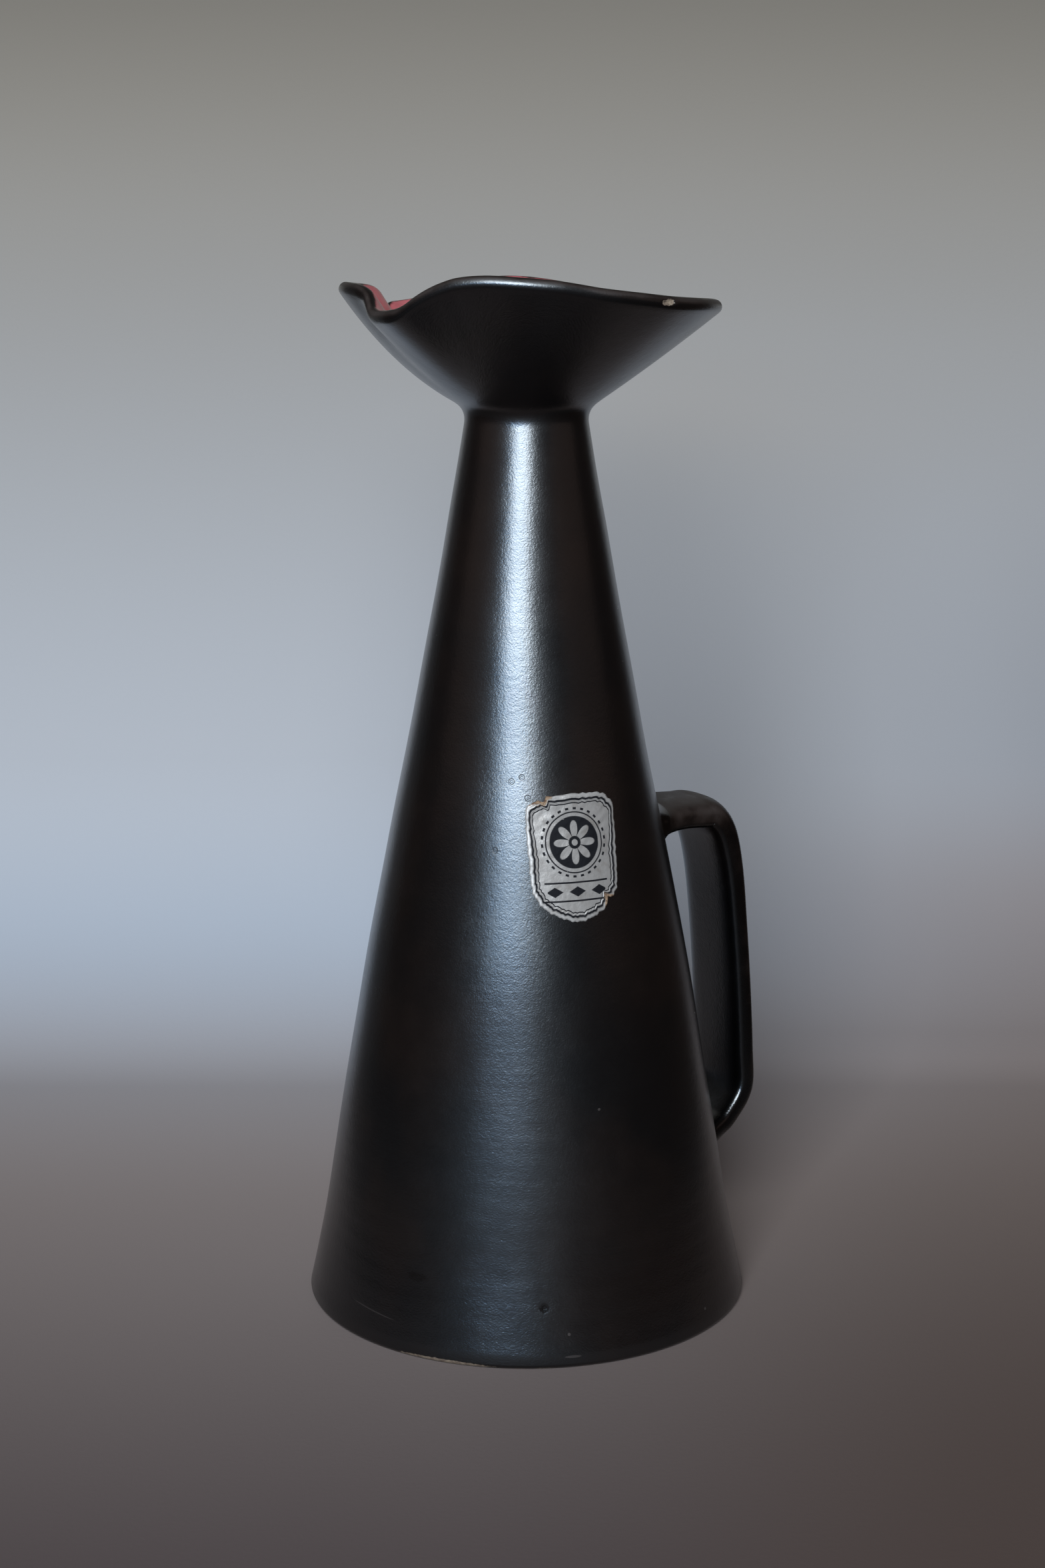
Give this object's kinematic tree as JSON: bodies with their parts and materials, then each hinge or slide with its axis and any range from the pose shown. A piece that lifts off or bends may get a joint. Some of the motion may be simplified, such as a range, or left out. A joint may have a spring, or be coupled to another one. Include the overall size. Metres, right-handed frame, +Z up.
{
  "type": "ceramic jug",
  "caption": "Tall conical glazed jug with a narrow neck, a wide flared mouth pinched to a pouring lip, a strap handle and a foil label.",
  "frame": {"origin": "centre of the underside, on the table", "axes": "+Z up, pouring lip toward -X, handle swung 32 degrees from +X toward +Y, seen in the picture along +Y"},
  "size_m": [0.1414, 0.1358, 0.31],
  "materials": {
    "jug": "satin black glaze with a metallic sheen",
    "label": "silver-grey foil facing"
  },
  "bodies": {
    "root": {"jug": "jug", "label": "label"}
  },
  "joints": []
}
